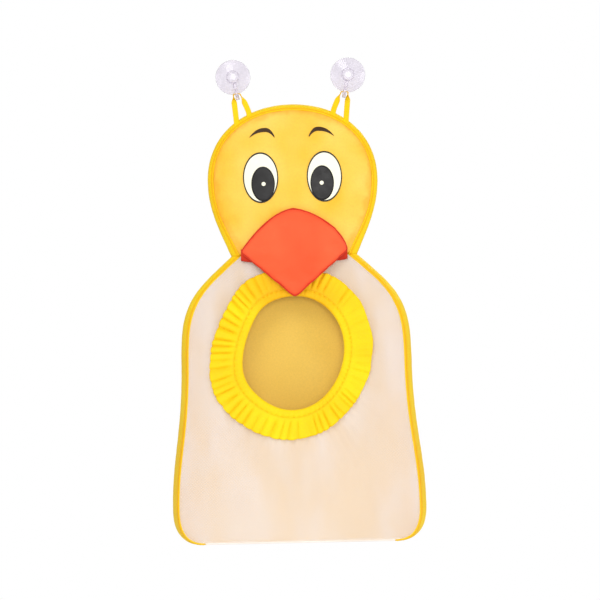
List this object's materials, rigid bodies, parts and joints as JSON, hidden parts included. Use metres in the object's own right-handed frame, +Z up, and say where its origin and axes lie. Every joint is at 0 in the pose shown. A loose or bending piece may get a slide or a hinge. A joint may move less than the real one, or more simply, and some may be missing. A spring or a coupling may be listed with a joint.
{
  "type": "hanging bath toy organizer",
  "caption": "Flat duck-shaped hanging net bag with a frilled oval mouth, a padded head and beak flap, hung by tape loops on suction cup hooks.",
  "frame": {"origin": "on the wall, midway between the centres of the two suction cups", "axes": "+X to the viewer's right, +Y into the wall, +Z up"},
  "size_m": [0.29, 0.0488, 0.553],
  "materials": {
    "gold_cloth": "soft padded cloth with a low sheen",
    "yellow_cloth": "plain woven nylon",
    "frill_cloth": "thin bright gathered cloth",
    "red_cloth": "soft padded cloth",
    "dark_red_cloth": "plain cloth",
    "white_net": "fine see-through knitted net",
    "foam": "soft foam sheet",
    "elastic": "flat braided elastic",
    "white_film": "matt heat-pressed film",
    "dark_film": "matt heat-pressed film",
    "brown_film": "matt heat-pressed film",
    "clear_plastic": "clear soft plastic"
  },
  "bodies": {
    "wall_cups": {"left_suction_cup": "clear_plastic", "right_suction_cup": "clear_plastic"},
    "left_hook": {"left_cup_hook": "clear_plastic"},
    "right_hook": {"right_cup_hook": "clear_plastic"},
    "bag": {"back_panel": "yellow_cloth", "head_gusset": "yellow_cloth", "left_gusset": "yellow_cloth", "right_gusset": "yellow_cloth", "left_loop": "yellow_cloth", "right_loop": "yellow_cloth", "base_panel": "white_net", "front_net": "white_net", "head_cover": "gold_cloth", "head_foam": "foam", "beak_crown": "red_cloth", "beak_lining": "dark_red_cloth", "mouth_casing": "frill_cloth", "mouth_frill": "frill_cloth", "mouth_elastic": "elastic", "left_eye_white": "white_film", "right_eye_white": "white_film", "left_glint": "white_film", "right_glint": "white_film", "left_pupil": "dark_film", "right_pupil": "dark_film", "left_brow": "brown_film", "right_brow": "brown_film"},
    "beak": {"beak_flap": "red_cloth"}
  },
  "joints": [
    {"name": "bag_swing", "type": "hinge", "parent": "wall_cups", "child": "bag", "pos_m": [0, -0.0151, -0.02006], "axis": [-1, 0, 0], "range_deg": [0, 75]},
    {"name": "left_hook_turn", "type": "hinge", "parent": "wall_cups", "child": "left_hook", "pos_m": [-0.066, -0.0096, 0], "axis": [0, -1, 0], "range_deg": [0, 2]},
    {"name": "right_hook_turn", "type": "hinge", "parent": "wall_cups", "child": "right_hook", "pos_m": [0.066, -0.0096, 0], "axis": [0, 1, 0], "range_deg": [0, 2]},
    {"name": "beak_lift", "type": "hinge", "parent": "bag", "child": "beak", "pos_m": [0, -0.034, -0.201], "axis": [-1, 0, 0], "range_deg": [0, 110], "stiffness_Nm_per_rad": 0.002, "springref_deg": -28.65}
  ]
}
